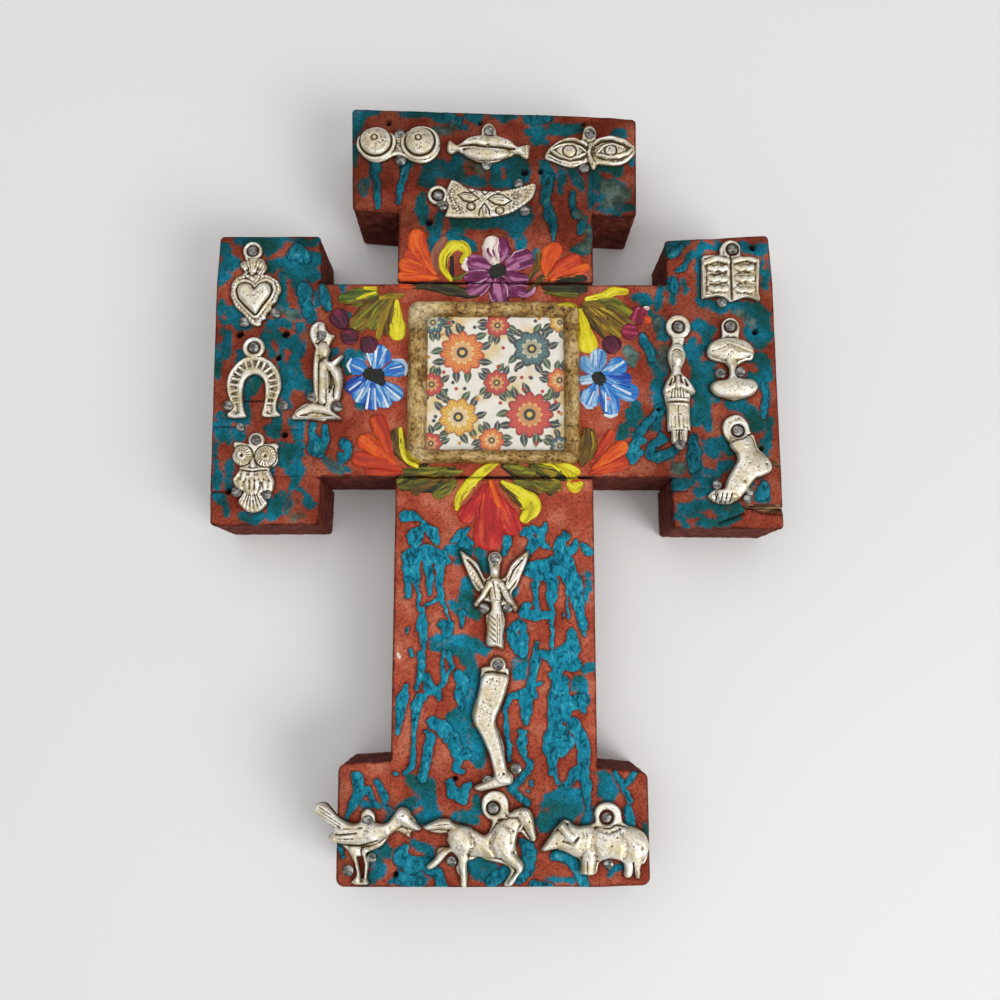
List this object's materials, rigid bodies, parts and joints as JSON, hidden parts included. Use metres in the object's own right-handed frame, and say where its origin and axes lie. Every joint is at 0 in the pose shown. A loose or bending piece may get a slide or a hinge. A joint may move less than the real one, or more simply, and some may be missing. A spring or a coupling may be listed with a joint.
{
  "type": "milagro cross",
  "caption": "Folk cross of painted sawn boards with a framed card at its centre and cast metal charms nailed over its face.",
  "frame": {"origin": "middle of the bounding box, on the plane of the back faces that the cross lies on", "axes": "+X to the cross's right as it is looked at, +Y to its top, +Z straight out of the decorated face"},
  "size_m": [0.1634, 0.2242, 0.0299],
  "materials": {
    "painted_wood": "red-brown paint over sawn softwood, with thick crackled teal paint dabbed over it",
    "bare_wood": "unfinished turned wood",
    "gold_paint": "rubbed gold paint on a small moulding",
    "printed_card": "thin printed card under clear varnish",
    "charm_metal": "silver-coloured casting, rubbed bright on the raised parts and dark olive-brown in the hollows",
    "nail_steel": "dull grey wire nail"
  },
  "bodies": {
    "root": {"beam": "painted_wood", "upper_stem": "painted_wood", "lower_stem": "painted_wood", "cap_block_left": "painted_wood", "cap_block_right": "painted_wood", "arm_block_upper_left": "painted_wood", "arm_block_upper_right": "painted_wood", "arm_block_lower_left": "painted_wood", "arm_block_lower_right": "painted_wood", "foot_block_left": "painted_wood", "foot_block_right": "painted_wood", "peg_upper_left": "bare_wood", "peg_upper_right": "bare_wood", "peg_lower_left": "bare_wood", "peg_lower_right": "bare_wood", "picture_frame": "gold_paint", "picture_card": "printed_card", "charm_domes": "charm_metal", "charm_lips": "charm_metal", "charm_eyes": "charm_metal", "charm_horn_plate": "charm_metal", "charm_heart": "charm_metal", "charm_horseshoe": "charm_metal", "charm_owl": "charm_metal", "charm_kneeling_figure": "charm_metal", "charm_book": "charm_metal", "charm_praying_figure": "charm_metal", "charm_mushroom": "charm_metal", "charm_foot": "charm_metal", "charm_angel": "charm_metal", "charm_leg": "charm_metal", "charm_rooster": "charm_metal", "charm_horse": "charm_metal", "charm_pig": "charm_metal", "nail_domes": "nail_steel", "nail_lips": "nail_steel", "nail_eyes": "nail_steel", "nail_horn_plate": "nail_steel", "nail_heart": "nail_steel", "nail_horseshoe": "nail_steel", "nail_owl": "nail_steel", "nail_kneeling_figure": "nail_steel", "nail_book": "nail_steel", "nail_praying_figure": "nail_steel", "nail_mushroom": "nail_steel", "nail_foot": "nail_steel", "nail_angel": "nail_steel", "nail_leg": "nail_steel", "nail_rooster": "nail_steel", "nail_horse": "nail_steel", "nail_pig": "nail_steel", "nail_domes_rim": "nail_steel", "nail_horn_plate_rim": "nail_steel", "nail_heart_rim": "nail_steel", "nail_horseshoe_rim": "nail_steel", "nail_kneeling_figure_rim": "nail_steel", "nail_praying_figure_rim": "nail_steel", "nail_mushroom_rim": "nail_steel", "nail_leg_rim": "nail_steel", "nail_foot_rim": "nail_steel"}
  },
  "joints": []
}
